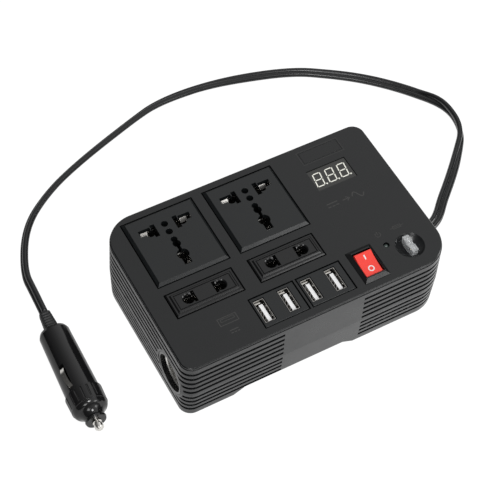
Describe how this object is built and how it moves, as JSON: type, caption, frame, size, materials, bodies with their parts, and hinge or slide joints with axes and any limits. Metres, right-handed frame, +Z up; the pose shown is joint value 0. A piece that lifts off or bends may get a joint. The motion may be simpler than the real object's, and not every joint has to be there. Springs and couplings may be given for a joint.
{
  "type": "power inverter",
  "caption": "Flat ribbed power inverter with mains sockets, USB ports, rocker switch, display, lighter socket and a lead ending in a lighter plug.",
  "frame": {"origin": "middle of the case's footprint, on the surface it stands on", "axes": "+X to the right along the case, +Y to the back, +Z up"},
  "size_m": [0.2921, 0.1985, 0.0481],
  "materials": {
    "case_plastic": "fine moulded texture, black",
    "outlet_plastic": "smooth satin, near black",
    "switch_plastic": "satin black",
    "rocker_red": "gloss red",
    "rubber_black": "matt black",
    "cable_jacket": "satin PVC, black",
    "plug_plastic": "gloss black",
    "nickel": "polished nickel plate",
    "steel": "zinc plated",
    "brass": "bare brass",
    "solder_mask": "green circuit board",
    "clear_plastic": "clear moulded plastic",
    "fuse_glass": "clear glass",
    "white_plastic": "white insulator",
    "display_face": "dark grey display face",
    "segment_white": "milky diffuser",
    "lamp_green": "clear tinted epoxy",
    "ferrite": "dark ferrite",
    "winding_tape": "yellow polyester tape",
    "can_sleeve": "dark sleeve",
    "aluminium": "extruded",
    "epoxy_black": "moulded epoxy",
    "fan_plastic": "black"
  },
  "bodies": {
    "root": {"upper_cover": "case_plastic", "lower_housing": "case_plastic", "case_screws": "steel", "rubber_feet": "rubber_black", "universal_outlet_left": "outlet_plastic", "universal_outlet_right": "outlet_plastic", "universal_contacts_left": "nickel", "universal_contacts_right": "nickel", "two_pin_outlet_left": "outlet_plastic", "two_pin_outlet_right": "outlet_plastic", "two_pin_contacts_left": "nickel", "two_pin_contacts_right": "nickel", "usb_panel_left": "outlet_plastic", "usb_panel_right": "outlet_plastic", "usb_shells": "nickel", "usb_tongues": "white_plastic", "usb_board": "solder_mask", "switch_housing": "switch_plastic", "switch_terminals": "brass", "power_lamp": "lamp_green", "fuse_holder": "epoxy_black", "fuse_clips": "brass", "display_module": "display_face", "display_segments": "segment_white", "display_board": "solder_mask", "socket_bezel": "switch_plastic", "socket_sleeve": "nickel", "socket_insulator": "white_plastic", "socket_centre_contact": "brass", "main_board": "solder_mask", "board_spacers": "epoxy_black", "transformer_core": "ferrite", "transformer_coil": "winding_tape", "capacitors": "can_sleeve", "choke": "ferrite", "heat_sink": "aluminium", "transistor_tabs": "steel", "transistor_packages": "epoxy_black", "fan_frame": "fan_plastic", "cable_relief": "rubber_black", "power_cable": "cable_jacket", "plug_relief": "rubber_black", "plug_body": "plug_plastic"},
    "rocker": {"rocker": "rocker_red"},
    "blade_fuse": {"fuse_body": "clear_plastic", "fuse_blades": "nickel"},
    "fan_rotor": {"fan_rotor": "fan_plastic"},
    "plug_tip": {"plug_tip_pin": "nickel", "plug_fuse_glass": "fuse_glass", "plug_fuse_caps": "nickel", "plug_spring": "steel"},
    "plug_contact_upper": {"plug_contact_upper": "nickel"},
    "plug_contact_lower": {"plug_contact_lower": "nickel"},
    "plug_nose_ring": {"plug_nose_ring": "plug_plastic"}
  },
  "joints": [
    {"name": "rocker_tilt", "type": "hinge", "parent": "root", "child": "rocker", "pos_m": [0.0347, -0.0349, 0.0434], "axis": [-1, 0, 0], "range_deg": [0, 20]},
    {"name": "fuse_pull", "type": "slide", "parent": "root", "child": "blade_fuse", "axis": [0, 0, 1], "range_m": [0, 0.014]},
    {"name": "fan_spin", "type": "hinge", "parent": "root", "child": "fan_rotor", "pos_m": [0.048, 0.0425, 0.0248], "axis": [0, 1, 0], "continuous": true},
    {"name": "plug_tip_press", "type": "slide", "parent": "root", "child": "plug_tip", "axis": [0.0523, 0.9978, -0.041], "range_m": [0, 0.004], "stiffness_N_per_m": 300, "springref_m": -0.004},
    {"name": "plug_contact_upper_press", "type": "slide", "parent": "root", "child": "plug_contact_upper", "axis": [0.6131, -0.0645, -0.7873], "range_m": [0, 0.0012], "stiffness_N_per_m": 400, "springref_m": -0.0008},
    {"name": "plug_contact_lower_press", "type": "slide", "parent": "root", "child": "plug_contact_lower", "axis": [-0.6131, 0.0645, 0.7873], "range_m": [0, 0.0012], "stiffness_N_per_m": 400, "springref_m": -0.0008},
    {"name": "nose_ring_unscrew", "type": "hinge", "parent": "root", "child": "plug_nose_ring", "pos_m": [-0.12254, -0.02367, 0.01026], "axis": [-0.0523, -0.9978, 0.041], "range_deg": [0, 720]}
  ]
}
